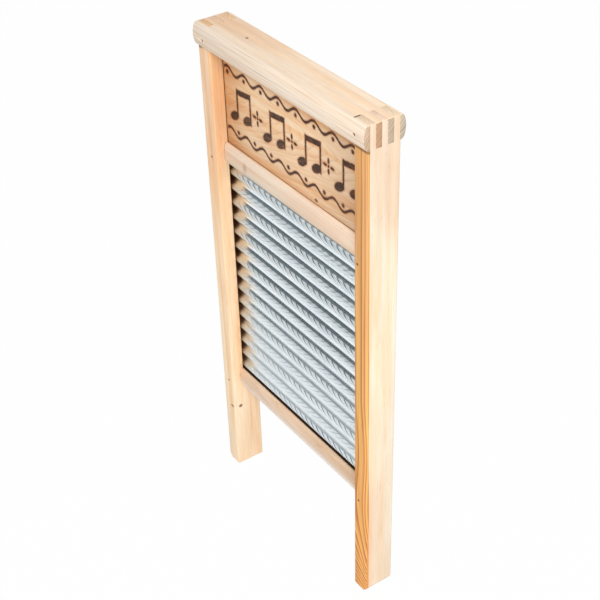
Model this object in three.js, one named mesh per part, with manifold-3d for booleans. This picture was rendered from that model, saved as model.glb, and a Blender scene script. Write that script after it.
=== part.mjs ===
// A small hand-held washboard, played as a rhythm instrument.
// Two pine stiles stand on feet with rounded outer corners and carry a bullnosed head rail.
// A thin board and a galvanised rubbing sheet slide in one groove that runs round the frame.
// The sheet has horizontal ridges whose crests are twisted like rope, left and right in turn.
// Sizes are in millimetres, X to the right, Y to the rear, Z up, with the feet on zero.

import * as THREE from "three";
import { mergeVertices } from "three/addons/utils/BufferGeometryUtils.js";
import Module from "manifold-3d";

const wasm = await Module();
wasm.setup();

// The frame as a whole.
const frame_width = 219;
const frame_height = 457;
const end_easing = 1.2;
const end_steps = 3;

// Stiles, with the groove that holds the board and the sheet.
const stile_thickness = 16;
const stile_depth = 28;
const stile_arris = 1.2;
const foot_easing = 1.2;
const toe_rounding = 6;
const groove_width = 5.2;
const groove_depth = 9.5;
const arris_steps = 3;
const toe_steps = 6;

// Head rail and its finger joints.
const head_height = 19.5;
const head_nose = 4;
const finger_count = 7;
const finger_play = 0.1;
const nose_steps = 14;

// Middle and bottom rails, above and below the opening for the sheet.
const opening_top = 334.3;
const opening_bottom = 115.5;
const rail_height = 19;
const rail_depth = 13.6;
const rail_nose = 3.2;
const rail_groove_depth = 5;
const tenon_play = 0.1;
const tenon_end_gap = 0.3;
const tenon_haunch = 3;

// Name board, kept plain.
const board_thickness = 4.6;
const board_edge_gap = 0.6;

// Rubbing sheet.
const sheet_thickness = 0.8;
const sheet_edge_gap = 0.8;
const sheet_front_gap = 0.1;
const ridge_count = 15;
const ridge_pitch = 14.64;
const ridge_depth = 3.7;
const lowest_ridge_height = 4.3;
const rope_half_width = 3.2;
const rope_relief = 0.3;
const strand_pitch = 8;
const strand_lead = 17;
const rope_row_shares = [-1, -0.38, 0.38, 1];
const valley_row_shares = [0.36, 0.64];

// Brads that pin the joints from the front.
const brad_shank = 1.2;
const brad_head = 2.2;
const brad_head_height = 0.8;
const brad_length = 20;
const brad_play = 0.25;
const brad_sides = 10;
const head_brad_sink = 0.6;
const stile_brad_sink = 0.2;

// Where each brad was driven: its distance from the opening's side, and its height in its rail.
const head_brads = { left: [2.8, 8], right: [5, 9.5] };
const middle_brads = { left: [8, 5.2], right: [3.4, 5.2] };
const bottom_brads = { left: [7.8, 4.8], right: [5.2, 7] };

const cut_overrun = 2;

// Places that several pieces share.
const half_width = frame_width / 2;
const inner_face = half_width - stile_thickness;
const opening_width = inner_face * 2;
const stile_front = -stile_depth / 2;
const groove_front = -groove_width / 2;
const groove_back = groove_width / 2;
const head_depth = stile_depth + head_nose * 2;
const head_bottom = frame_height - head_height;
const finger_width = head_depth / finger_count;
const middle_rail_top = opening_top + rail_height;
const bottom_rail_bottom = opening_bottom - rail_height;
const head_brad_front = -head_depth / 2 + head_brad_sink;
const stile_brad_front = stile_front + stile_brad_sink;

// Closed meshes become solids that can be cut, and come back as geometry.
function solid_of(geometry) {
  const bare = geometry.clone();
  bare.deleteAttribute("normal");
  bare.deleteAttribute("uv");
  const merged = mergeVertices(bare);
  return new wasm.Manifold(new wasm.Mesh({
    numProp: 3,
    vertProperties: new Float32Array(merged.attributes.position.array),
    triVerts: new Uint32Array(merged.index.array),
  }));
}

function geometry_of(solid) {
  const mesh = solid.getMesh();
  const geometry = new THREE.BufferGeometry();
  geometry.setAttribute("position", new THREE.BufferAttribute(mesh.vertProperties, 3));
  geometry.setIndex(new THREE.BufferAttribute(mesh.triVerts, 1));
  geometry.computeVertexNormals();
  return geometry;
}

function box_solid(low, high) {
  const size = [high[0] - low[0], high[1] - low[1], high[2] - low[2]];
  const geometry = new THREE.BoxGeometry(size[0], size[1], size[2]);
  geometry.translate(low[0] + size[0] / 2, low[1] + size[1] / 2, low[2] + size[2] / 2);
  return solid_of(geometry);
}

function cut_all(solid, tools) {
  let rest = solid;
  for (const tool of tools) {
    rest = rest.subtract(tool);
  }
  return rest;
}

// Pine and steel, each piece with a material of its own.
function pine(colour) {
  return new THREE.MeshStandardMaterial({ color: colour, roughness: 0.6, metalness: 0, flatShading: true });
}

function steel(colour, roughness) {
  return new THREE.MeshStandardMaterial({ color: colour, roughness: roughness, metalness: 1, flatShading: true });
}

function piece(name, geometry, material, place) {
  const mesh = new THREE.Mesh(geometry, material);
  mesh.name = name;
  mesh.position.set(place[0], place[1], place[2]);
  return mesh;
}

// One ring of a post: a rectangle with eased corners, drawn in by one inset on the side that
// bears the toe and by another on the other three.
function post_ring(side, toe_inset, inset, height) {
  const radius = stile_arris;
  const toe_x = stile_thickness / 2 - toe_inset - radius;
  const heel_x = stile_thickness / 2 - inset - radius;
  const reach_y = stile_depth / 2 - inset - radius;
  const corners = [[1, 1], [-1, 1], [-1, -1], [1, -1]];
  const ring = [];
  corners.forEach(([side_x, side_y], corner) => {
    const reach_x = side_x === side ? toe_x : heel_x;
    for (let step = 0; step <= arris_steps; step += 1) {
      const angle = (corner + step / arris_steps) * Math.PI / 2;
      const x = side_x * reach_x + radius * Math.cos(angle);
      const y = side_y * reach_y + radius * Math.sin(angle);
      ring.push([x, y, height]);
    }
  });
  return ring;
}

// How far a rounded edge is drawn in at a height above its foot.
function rounding_inset(radius, height) {
  const drop = Math.max(radius - height, 0);
  return radius - Math.sqrt(radius * radius - drop * drop);
}

// Rings joined into a closed solid, the first at the bottom.
function loft(rings) {
  const points = rings.flat(2);
  const count = rings[0].length;
  const faces = [];
  for (let row = 0; row + 1 < rings.length; row += 1) {
    for (let side = 0; side < count; side += 1) {
      const next = (side + 1) % count;
      const low = row * count;
      const high = low + count;
      faces.push(low + side, low + next, high + next);
      faces.push(low + side, high + next, high + side);
    }
  }
  const top = (rings.length - 1) * count;
  for (let side = 1; side + 1 < count; side += 1) {
    faces.push(0, side + 1, side);
    faces.push(top, top + side, top + side + 1);
  }
  const geometry = new THREE.BufferGeometry();
  geometry.setAttribute("position", new THREE.Float32BufferAttribute(points, 3));
  geometry.setIndex(faces);
  return geometry;
}

// The whole post: eased along its length, eased round the foot, and well rounded at the toe,
// which is the foot's outer edge.
function post_solid(side) {
  const rings = [];
  for (let step = 0; step <= toe_steps; step += 1) {
    const angle = step / toe_steps * Math.PI / 2;
    const height = toe_rounding * (1 - Math.cos(angle));
    rings.push(post_ring(side, rounding_inset(toe_rounding, height), rounding_inset(foot_easing, height), height));
  }
  rings.push(post_ring(side, 0, 0, frame_height));
  return solid_of(loft(rings));
}

// The frame's outer shape seen from the front, with the ends of its top edge sanded round.
function sanded_envelope() {
  const outline = new THREE.Shape();
  outline.moveTo(-half_width, -cut_overrun);
  outline.lineTo(half_width, -cut_overrun);
  for (const side of [1, -1]) {
    for (let step = 0; step <= end_steps; step += 1) {
      const share = side === 1 ? step / end_steps : 1 - step / end_steps;
      const angle = share * Math.PI / 2;
      const x = half_width - end_easing + end_easing * Math.cos(angle);
      const z = frame_height - end_easing + end_easing * Math.sin(angle);
      outline.lineTo(side * x, z);
    }
  }
  const geometry = new THREE.ExtrudeGeometry(outline, { depth: head_depth * 2, bevelEnabled: false, steps: 1 });
  geometry.translate(0, 0, -head_depth);
  geometry.rotateX(Math.PI / 2);
  return solid_of(geometry);
}

// Where finger number n of the joint lies, counted from the front.
function finger_span(n) {
  const low = -head_depth / 2 + finger_width * n;
  return [low, low + finger_width];
}

// A round tool or brad along Y, from one depth to another.
function rod_geometry(radius, front, back) {
  const geometry = new THREE.CylinderGeometry(radius, radius, back - front, brad_sides);
  geometry.translate(0, (front + back) / 2, 0);
  return geometry;
}

// The drilling for one brad: a recess for the head and a hole for the shank.
function brad_drilling([x, z], head_front) {
  const seat = head_front + brad_head_height;
  const head = rod_geometry(brad_head / 2 + brad_play, head_front - cut_overrun * 2, seat);
  const shank = rod_geometry(brad_shank / 2 + brad_play, head_front, head_front + brad_length + brad_play);
  head.translate(x, 0, z);
  shank.translate(x, 0, z);
  return solid_of(head).add(solid_of(shank));
}

// A brad's place in the frame, from its entry in one of the tables above and its rail's underside.
function brad_place(entries, word, rail_bottom) {
  const [inset, rise] = entries[word];
  const side = word === "left" ? -1 : 1;
  return [side * (inner_face + inset), rail_bottom + rise];
}

function brad_places(word) {
  return {
    top: brad_place(head_brads, word, head_bottom),
    mid: brad_place(middle_brads, word, opening_top),
    bottom: brad_place(bottom_brads, word, bottom_rail_bottom),
  };
}

// A stile with its fingers cut, its groove run and its brads drilled.
function stile(word, side, colour) {
  const centre_x = side * (inner_face + stile_thickness / 2);
  const face_x = -side * stile_thickness / 2;
  const tools = [];
  for (let n = 0; n < finger_count; n += 2) {
    const [low, high] = finger_span(n);
    tools.push(box_solid(
      [-stile_thickness, low - finger_play, head_bottom],
      [stile_thickness, high + finger_play, frame_height + cut_overrun],
    ));
  }
  const groove_floor = face_x + side * groove_depth;
  const groove_mouth = face_x - side * cut_overrun;
  tools.push(box_solid(
    [Math.min(groove_floor, groove_mouth), groove_front, bottom_rail_bottom + tenon_haunch - tenon_end_gap],
    [Math.max(groove_floor, groove_mouth), groove_back, head_bottom + rail_groove_depth],
  ));
  const places = brad_places(word);
  const drillings = [
    brad_drilling(places.top, head_brad_front),
    brad_drilling(places.mid, stile_brad_front),
    brad_drilling(places.bottom, stile_brad_front),
  ];
  tools.push(...drillings.map((drilling) => drilling.translate(-centre_x, 0, 0)));
  const sanded = post_solid(side).intersect(sanded_envelope().translate(-centre_x, 0, 0));
  return piece(`${word}_stile`, geometry_of(cut_all(sanded, tools)), pine(colour), [centre_x, 0, 0]);
}

// A rail's section: flat above and below, with an elliptical nose in front and behind.
function nosed_bar(depth, height, nose, length) {
  const flat = depth / 2 - nose;
  const outline = new THREE.Shape();
  for (let step = 0; step <= nose_steps; step += 1) {
    const angle = Math.PI / 2 - step / nose_steps * Math.PI;
    const y = flat + nose * Math.cos(angle);
    const z = height / 2 + height / 2 * Math.sin(angle);
    if (step === 0) {
      outline.moveTo(y, z);
    } else {
      outline.lineTo(y, z);
    }
  }
  for (let step = 0; step <= nose_steps; step += 1) {
    const angle = -Math.PI / 2 - step / nose_steps * Math.PI;
    outline.lineTo(-flat + nose * Math.cos(angle), height / 2 + height / 2 * Math.sin(angle));
  }
  const geometry = new THREE.ExtrudeGeometry(outline, { depth: length, bevelEnabled: false, steps: 1 });
  geometry.translate(0, 0, -length / 2);
  geometry.rotateX(Math.PI / 2);
  geometry.rotateZ(Math.PI / 2);
  return solid_of(geometry);
}

// The head rail, slotted at both ends for the stiles' fingers and grooved below for the board.
function head_rail(colour) {
  const tools = [];
  for (let n = 1; n < finger_count; n += 2) {
    const [low, high] = finger_span(n);
    for (const side of [-1, 1]) {
      const ends = [side * inner_face, side * (half_width + cut_overrun)];
      tools.push(box_solid(
        [Math.min(ends[0], ends[1]), low, -cut_overrun],
        [Math.max(ends[0], ends[1]), high, head_height + cut_overrun],
      ));
    }
  }
  tools.push(box_solid(
    [-inner_face - groove_depth, groove_front, -cut_overrun],
    [inner_face + groove_depth, groove_back, rail_groove_depth],
  ));
  for (const word of ["left", "right"]) {
    tools.push(brad_drilling(brad_place(head_brads, word, 0), head_brad_front));
  }
  const bar = nosed_bar(head_depth, head_height, head_nose, frame_width);
  const sanded = bar.intersect(sanded_envelope().translate(0, 0, -head_bottom));
  return piece("top_rail", geometry_of(cut_all(sanded, tools)), pine(colour), [0, 0, head_bottom]);
}

// A middle or bottom rail: nosed body between the stiles, tenons that fill their grooves.
function cross_rail(name, colour, bottom, groove_below, entries) {
  const tenon_reach = inner_face + groove_depth - tenon_end_gap;
  const tenon_low = groove_below ? 0 : tenon_haunch;
  let solid = nosed_bar(rail_depth, rail_height, rail_nose, opening_width);
  solid = solid.add(box_solid(
    [-tenon_reach, groove_front + tenon_play, tenon_low],
    [tenon_reach, groove_back - tenon_play, rail_height],
  ));
  const reach = tenon_reach + cut_overrun;
  const tools = [box_solid(
    [-reach, groove_front, rail_height - rail_groove_depth],
    [reach, groove_back, rail_height + cut_overrun],
  )];
  if (groove_below) {
    tools.push(box_solid([-reach, groove_front, -cut_overrun], [reach, groove_back, rail_groove_depth]));
  }
  for (const word of ["left", "right"]) {
    tools.push(brad_drilling(brad_place(entries, word, 0), stile_brad_front));
  }
  return piece(name, geometry_of(cut_all(solid, tools)), pine(colour), [0, 0, bottom]);
}

// The thin board lies against the rear wall of the groove, so a dark line shows in front of it.
function name_board(colour) {
  const width = (inner_face + groove_depth - board_edge_gap) * 2;
  const low = middle_rail_top - rail_groove_depth + board_edge_gap;
  const high = head_bottom + rail_groove_depth - board_edge_gap;
  const geometry = new THREE.BoxGeometry(width, board_thickness, high - low);
  return piece("name_panel", geometry, pine(colour), [0, groove_back - board_thickness / 2, (low + high) / 2]);
}

// Depth of the smooth corrugation at a height above the opening's lower edge.
const crest_depth = groove_front + sheet_front_gap + rope_relief;

function corrugation(height) {
  const turn = (height - lowest_ridge_height) / ridge_pitch * Math.PI * 2;
  return crest_depth + ridge_depth * (1 - Math.cos(turn)) / 2;
}

// How far the strands have run sideways at a height: each ridge twists against its neighbours.
function strand_shift(height) {
  const nearest = Math.round((height - lowest_ridge_height) / ridge_pitch);
  const ridge = Math.min(Math.max(nearest, 0), ridge_count - 1);
  const offset = (height - lowest_ridge_height - ridge * ridge_pitch) / rope_half_width;
  const hand = ridge % 2 === 0 ? -1 : 1;
  return hand * strand_lead / 2 * Math.min(Math.max(offset, -1), 1);
}

// The heights of the sheet's rows, with those on a rope marked for relief.
function sheet_rows(low, high) {
  const first_valley = lowest_ridge_height - ridge_pitch * valley_row_shares[0];
  const rows = [{ height: low, relief: 0 }, { height: first_valley, relief: 0 }];
  for (let ridge = 0; ridge < ridge_count; ridge += 1) {
    const crest = lowest_ridge_height + ridge_pitch * ridge;
    for (const share of rope_row_shares) {
      const relief = Math.abs(share) < 1 ? rope_relief : 0;
      rows.push({ height: crest + rope_half_width * share, relief: relief });
    }
    for (const share of valley_row_shares) {
      const height = crest + ridge_pitch * share;
      if (height < high) {
        rows.push({ height: height, relief: 0 });
      }
    }
  }
  rows.push({ height: high, relief: 0 });
  return rows;
}

// A corrugated sheet wider than needed: a front with roped crests, a smooth back, four edges.
function wide_sheet(low, high, half_sheet) {
  const rows = sheet_rows(low, high);
  const columns = Math.ceil((half_sheet * 2 + strand_lead) / strand_pitch) * 2;
  const half_wide = columns * strand_pitch / 4;
  const points = [];
  for (const row of rows) {
    for (let column = 0; column <= columns; column += 1) {
      const plain = -half_wide + column * strand_pitch / 2;
      const swell = column % 2 === 0 ? row.relief : -row.relief;
      points.push(plain + strand_shift(row.height), corrugation(row.height) - swell, row.height);
    }
  }
  const back_start = points.length / 3;
  for (const row of rows) {
    const depth = corrugation(row.height) + sheet_thickness;
    const shift = strand_shift(row.height);
    points.push(shift - half_wide, depth, row.height, shift + half_wide, depth, row.height);
  }
  const faces = [];
  const across = columns + 1;
  for (let row = 0; row + 1 < rows.length; row += 1) {
    const leans_right = strand_shift(rows[row + 1].height) >= strand_shift(rows[row].height);
    for (let column = 0; column < columns; column += 1) {
      const a = row * across + column;
      const b = a + 1;
      const c = a + across;
      const d = c + 1;
      faces.push(...(leans_right ? [a, b, c, b, d, c] : [a, b, d, a, d, c]));
    }
    const left = back_start + row * 2;
    const right = left + 1;
    faces.push(left, left + 2, right, right, left + 2, right + 2);
    const front_left = row * across;
    const front_right = front_left + columns;
    faces.push(front_left, front_left + across, left, left, front_left + across, left + 2);
    faces.push(front_right, right, front_right + across, right, right + 2, front_right + across);
  }
  const top_front = (rows.length - 1) * across;
  const top_left = back_start + (rows.length - 1) * 2;
  for (let column = 0; column < columns; column += 1) {
    faces.push(column, back_start, column + 1);
    faces.push(top_front + column, top_front + column + 1, top_left);
  }
  faces.push(columns, back_start, back_start + 1);
  faces.push(top_front + columns, top_left + 1, top_left);
  const geometry = new THREE.BufferGeometry();
  geometry.setAttribute("position", new THREE.Float32BufferAttribute(points, 3));
  geometry.setIndex(faces);
  return solid_of(geometry);
}

// The rubbing sheet, trimmed through its strands to fit between the grooves' floors.
function rubbing_sheet(colour) {
  const half_sheet = inner_face + groove_depth - sheet_edge_gap;
  const low = -rail_groove_depth + sheet_edge_gap;
  const high = opening_top + rail_groove_depth - sheet_edge_gap - opening_bottom;
  const trim = box_solid([-half_sheet, -stile_depth, low - cut_overrun], [half_sheet, stile_depth, high + cut_overrun]);
  const sheet = wide_sheet(low, high, half_sheet).intersect(trim);
  return piece("rub_sheet", geometry_of(sheet), steel(colour, 0.35), [0, 0, opening_bottom]);
}

// A brad: a turned pin with a flat head, driven in along Y.
function brad(name, [x, z], head_front) {
  const profile = [
    [0, brad_length],
    [brad_shank / 2, brad_length],
    [brad_shank / 2, brad_head_height],
    [brad_head / 2, brad_head_height],
    [brad_head / 2, 0],
    [0, 0],
  ];
  const points = profile.map(([radius, depth]) => new THREE.Vector2(radius, depth)).reverse();
  const geometry = geometry_of(solid_of(new THREE.LatheGeometry(points, brad_sides)));
  return piece(name, geometry, steel(0x5a4636, 0.5), [x, head_front, z]);
}

const washboard = new THREE.Group();
washboard.add(stile("left", -1, 0xe6c9a0));
washboard.add(stile("right", 1, 0xe2b67c));
washboard.add(head_rail(0xeed4b0));
washboard.add(cross_rail("mid_rail", 0xe4c8a2, opening_top, true, middle_brads));
washboard.add(cross_rail("bottom_rail", 0xe8cba4, bottom_rail_bottom, false, bottom_brads));
washboard.add(name_board(0xe3bf92));
washboard.add(rubbing_sheet(0xc2cccc));
for (const word of ["left", "right"]) {
  const places = brad_places(word);
  washboard.add(brad(`top_brad_${word}`, places.top, head_brad_front));
  washboard.add(brad(`mid_brad_${word}`, places.mid, stile_brad_front));
  washboard.add(brad(`bottom_brad_${word}`, places.bottom, stile_brad_front));
}

export default washboard;
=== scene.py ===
# %% [markdown]
# # A small washboard, dressed for its portrait
# The frame of a washboard is plain pine: two stiles, a rounded head rail on finger joints, and two
# narrower rails. A thin board and a sheet of galvanised steel sit in grooves between them.
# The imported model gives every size, so it is loaded first and everything else is built around it.

# %% Load the frame
import math

import bpy
from mathutils import Matrix, Vector


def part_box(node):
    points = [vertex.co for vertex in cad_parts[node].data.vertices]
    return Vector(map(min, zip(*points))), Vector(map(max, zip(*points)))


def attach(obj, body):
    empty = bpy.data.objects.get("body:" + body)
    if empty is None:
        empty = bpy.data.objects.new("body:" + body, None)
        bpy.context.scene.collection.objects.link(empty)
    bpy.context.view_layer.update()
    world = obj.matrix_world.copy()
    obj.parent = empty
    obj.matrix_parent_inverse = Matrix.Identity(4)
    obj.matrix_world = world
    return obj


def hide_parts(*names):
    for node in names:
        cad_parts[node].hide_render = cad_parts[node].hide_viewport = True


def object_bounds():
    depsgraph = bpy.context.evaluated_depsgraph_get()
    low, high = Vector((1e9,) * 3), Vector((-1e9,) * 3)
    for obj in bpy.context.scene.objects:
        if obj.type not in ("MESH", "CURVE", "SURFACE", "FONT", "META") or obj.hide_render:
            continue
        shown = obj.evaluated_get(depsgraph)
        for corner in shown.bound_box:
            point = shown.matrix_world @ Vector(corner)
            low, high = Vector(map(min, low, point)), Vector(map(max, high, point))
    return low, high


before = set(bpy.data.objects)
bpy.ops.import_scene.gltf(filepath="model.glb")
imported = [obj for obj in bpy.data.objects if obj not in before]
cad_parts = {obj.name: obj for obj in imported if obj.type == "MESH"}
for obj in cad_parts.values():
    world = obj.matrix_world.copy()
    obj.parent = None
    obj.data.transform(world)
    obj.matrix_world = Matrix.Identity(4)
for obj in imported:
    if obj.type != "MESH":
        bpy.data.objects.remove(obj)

MM = 0.001
cad_low, cad_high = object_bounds()
print("frame box, mm:", [round(v / MM, 1) for v in cad_low], [round(v / MM, 1) for v in cad_high])

# %% [markdown]
# ## The camera
# The portrait looks down on the washboard from the front right with a portrait lens. A camera can
# be aimed at a target, but here its place comes from the slopes of the frame's edges, so it is
# written as numbers: a place, and three turns about the vertical, the horizontal and the line of
# sight.

# %% Camera
CAMERA_PLACE = Vector((0.69893, -0.47128, 0.85511))
CAMERA_TURN = 0.97676
CAMERA_TILT = 0.62593
CAMERA_ROLL = -0.03209
CAMERA_LENS = 76.0
CAMERA_FILM = 36.0
CAMERA_REACH = 50.0

camera_data = bpy.data.cameras.new("portrait_camera")
camera_data.lens = CAMERA_LENS
camera_data.sensor_width = CAMERA_FILM
camera_data.clip_end = CAMERA_REACH
camera = bpy.data.objects.new("portrait_camera", camera_data)
bpy.context.collection.objects.link(camera)
turned = Matrix.Rotation(CAMERA_TURN, 4, "Z")
tilted = Matrix.Rotation(math.pi / 2 - CAMERA_TILT, 4, "X")
rolled = Matrix.Rotation(CAMERA_ROLL, 4, "Z")
camera.matrix_world = Matrix.Translation(CAMERA_PLACE) @ turned @ tilted @ rolled
bpy.context.scene.camera = camera
print("camera distance, m:", round((CAMERA_PLACE - (cad_low + cad_high) / 2).length, 3))

# %% [markdown]
# ## Small helpers for nodes
# A material is a tree of nodes. It can be drawn by hand in the shader editor, but a finish as rich
# as wood takes a hundred nodes, so short helpers add them here: one adds a node with its settings
# and feeds its sockets, with a value or with a link, and the others do sums and mix colours. Each
# finish below then reads as a recipe. Colours are written as a colour picker shows them, and places
# are in millimetres.

# %% Colours and sockets
def shade(red, green, blue):
    """A colour picker's numbers as linear values."""
    parts = [part / 255 for part in (red, green, blue)]
    linear = [p / 12.92 if p <= 0.04045 else ((p + 0.055) / 1.055) ** 2.4 for p in parts]
    return (*linear, 1.0)


def feed(tree, socket, value):
    if isinstance(value, bpy.types.NodeSocket):
        tree.links.new(value, socket)
    else:
        socket.default_value = value


def add_node(tree, kind, sockets=None, **settings):
    made = tree.nodes.new(kind)
    for key, value in settings.items():
        setattr(made, key, value)
    for key, value in (sockets or {}).items():
        feed(tree, made.inputs[key], value)
    return made


def new_finish(name):
    material = bpy.data.materials.new(name)
    material.use_nodes = True
    tree = material.node_tree
    return material, tree, tree.nodes["Principled BSDF"]


print("linear value of a middle grey:", round(shade(128, 128, 128)[0], 3))


# %% Sums
def calc(tree, operation, *values):
    made = add_node(tree, "ShaderNodeMath", operation=operation)
    for socket, value in zip(made.inputs, values):
        feed(tree, socket, value)
    return made.outputs[0]


def chain(operation):
    """A helper that joins two or more values by one operation."""
    def joined(tree, first, *others):
        for other in others:
            first = calc(tree, operation, first, other)
        return first
    return joined


plus, minus, times = chain("ADD"), chain("SUBTRACT"), chain("MULTIPLY")
highest, lowest = chain("MAXIMUM"), chain("MINIMUM")


def size_of(tree, value):
    return calc(tree, "ABSOLUTE", value)


def vector_calc(tree, operation, *values):
    made = add_node(tree, "ShaderNodeVectorMath", operation=operation)
    for socket, value in zip(made.inputs, values):
        feed(tree, socket, value)
    return made.outputs["Value" if operation == "LENGTH" else "Vector"]


def axes_of(tree, vector):
    parts = add_node(tree, "ShaderNodeSeparateXYZ", {0: vector}).outputs
    return parts["X"], parts["Y"], parts["Z"]


# %% Mixing
def blend(tree, amount, below, above, mode="MIX"):
    made = add_node(tree, "ShaderNodeMix", data_type="RGBA", blend_type=mode)
    for socket, value in ((0, amount), (6, below), (7, above)):
        feed(tree, made.inputs[socket], value)
    return made.outputs[2]


def tint(tree, amount, below, glaze):
    """A colour seen through a coloured glaze, which is as strong as the amount."""
    return blend(tree, amount, below, glaze, "MULTIPLY")


def ramp(tree, value, stops, curve="LINEAR"):
    made = add_node(tree, "ShaderNodeValToRGB", {"Fac": value})
    elements = made.color_ramp.elements
    made.color_ramp.interpolation = curve
    while len(elements) < len(stops):
        elements.new(0.5)
    for element, (place, colour) in zip(elements, stops):
        element.position = place
        element.color = colour
    return made.outputs["Color"]


def spread(tree, value, low, high, to_low=0.0, to_high=1.0, curve="SMOOTHSTEP"):
    """Takes the range from low to high to another one, softly at both ends."""
    sockets = {"Value": value, "From Min": low, "From Max": high,
               "To Min": to_low, "To Max": to_high}
    made = add_node(tree, "ShaderNodeMapRange", sockets, interpolation_type=curve)
    return made.outputs["Result"]


# %% Places and noise
def stretch(tree, vector, scale):
    return add_node(tree, "ShaderNodeMapping", {"Vector": vector, "Scale": scale}).outputs["Vector"]


def place_on_piece(tree):
    """A place on the piece, in millimetres."""
    texture_place = add_node(tree, "ShaderNodeTexCoord").outputs["Object"]
    return stretch(tree, texture_place, (1 / MM,) * 3)


def noise(tree, vector, scale, detail=2.0, rough=0.5):
    sockets = {"Vector": vector, "Scale": scale, "Detail": detail, "Roughness": rough}
    return add_node(tree, "ShaderNodeTexNoise", sockets).outputs["Fac"]


def fibres(tree, grain, squeeze, scale, detail=2.0, rough=0.5):
    """Noise drawn out along the grain. The smaller the squeeze, the longer its marks."""
    return noise(tree, stretch(tree, grain, (1, 1, squeeze)), scale, detail, rough)


def away_from(tree, place, centre, half):
    """0 at a centre, 1 on the oval that its half sizes give, and more outside."""
    off = vector_calc(tree, "SUBTRACT", place, centre)
    return vector_calc(tree, "LENGTH", vector_calc(tree, "DIVIDE", off, half))


def inside_box(tree, place, low, high, soft=0.25):
    """1 inside a box given by two corners, fading to 0 across its faces."""
    centre = [(a + b) / 2 for a, b in zip(low, high)]
    half = [(b - a) / 2 for a, b in zip(low, high)]
    off = vector_calc(tree, "ABSOLUTE", vector_calc(tree, "SUBTRACT", place, centre))
    outside = highest(tree, *axes_of(tree, vector_calc(tree, "SUBTRACT", off, half)))
    return spread(tree, outside, -soft, soft, 1.0, 0.0)


# %% [markdown]
# ## Pine
# A pine board shows the growth rings of the tree it was sawn from. A flat picture of wood would
# stop at each corner. One pattern in space gives all faces at once, so it is used here: rings round
# a pith line that runs beside the board, a little tapered so that flat faces get arches, and bent
# by a slow noise. Late wood is the narrow dark edge of each ring, and knots push the rings aside.

# %% Growth rings
RING_LEVELS = ((0.0, 0.0), (0.45, 0.1), (0.8, 0.55), (0.92, 1.0), (1.0, 0.05))
RING_UNEVENNESS = 1.6
KNOT_PUSH_REACH = 4.0
SLOW_BENDS = dict(squeeze=0.12, scale=0.035)
RING_STRENGTH = dict(squeeze=0.05, scale=0.09, detail=1.0)


def ring_radius(tree, grain, place, wobble, taper, knots, bend):
    """Distance from the pith, bent by noise and pushed aside by knots, and the knots' own shade."""
    slow = fibres(tree, grain, **SLOW_BENDS)
    up = axes_of(tree, grain)[2]
    radius = vector_calc(tree, "LENGTH", vector_calc(tree, "MULTIPLY", grain, (1, 1, 0)))
    radius = plus(tree, radius, times(tree, minus(tree, slow, 0.5), wobble * 2))
    radius = plus(tree, radius, times(tree, up, taper))
    if bend:
        radius = plus(tree, radius, bend(tree, place))
    knot_shade = 0.0
    for centre, half, push in knots:
        away = away_from(tree, place, centre, half)
        radius = plus(tree, radius, spread(tree, away, 0.0, KNOT_PUSH_REACH, push, 0.0))
        knot_shade = highest(tree, knot_shade, spread(tree, away, 0.6, 1.2, 1.0, 0.0))
    return radius, knot_shade


def late_wood(tree, grain, radius, spacing):
    """How much late wood shows, from 0 to 1, in rings of uneven width."""
    rings = calc(tree, "DIVIDE", radius, spacing)
    uneven = add_node(tree, "ShaderNodeTexNoise", {"W": rings, "Scale": 0.45, "Detail": 1.0},
                      noise_dimensions="1D").outputs["Fac"]
    turn = calc(tree, "FRACT", plus(tree, rings, times(tree, uneven, RING_UNEVENNESS)))
    greys = [(place, (level, level, level, 1)) for place, level in RING_LEVELS]
    strength = spread(tree, fibres(tree, grain, **RING_STRENGTH), 0.3, 0.7, 0.45, 1.0)
    return times(tree, ramp(tree, turn, greys), strength)


print("a ring is palest and darkest at:", RING_LEVELS[0][0], RING_LEVELS[3][0])

# %% [markdown]
# ## A finish for planed pine
# Over the rings lie broad streaks of warmer wood, cloudy patches, long fine fibres and small
# flecks. Ends sawn across the grain look darker and duller. Shade in grooves and joints is painted
# into the colour, in boxes given in millimetres. The grain is turned to lie along the pattern's
# own Z, and a piece may add a mark of its own, such as heartwood. One recipe makes five finishes,
# because planks differ in tone and ring width far more than in kind.

# %% Pine recipe
ALONG_Z = (0.0, 0.0, 0.0)
ALONG_X = (0.0, -math.pi / 2, 0.0)
STREAKS = dict(squeeze=0.06, scale=0.13)
PATCHES = dict(squeeze=0.25, scale=0.03)
LONG_FIBRES = dict(squeeze=0.018, scale=2.2, detail=3.0, rough=0.6)
FLECKS = dict(squeeze=0.09, scale=1.1, detail=1.0, rough=0.4)
PATCH_GLAZE = shade(246, 232, 222)
FIBRE_GLAZE = shade(226, 200, 172)
FLECK_GLAZE = shade(176, 132, 92)
KNOT_BROWN = shade(116, 66, 40)
GROOVE_SHADOW = shade(64, 36, 18)
END_SHARE = 0.92
KNOT_SHARE = 0.85
WOOD_SPECULAR = 0.3
GRAIN_DEPTH, GRAIN_STRENGTH = 0.15 * MM, 0.25


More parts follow.
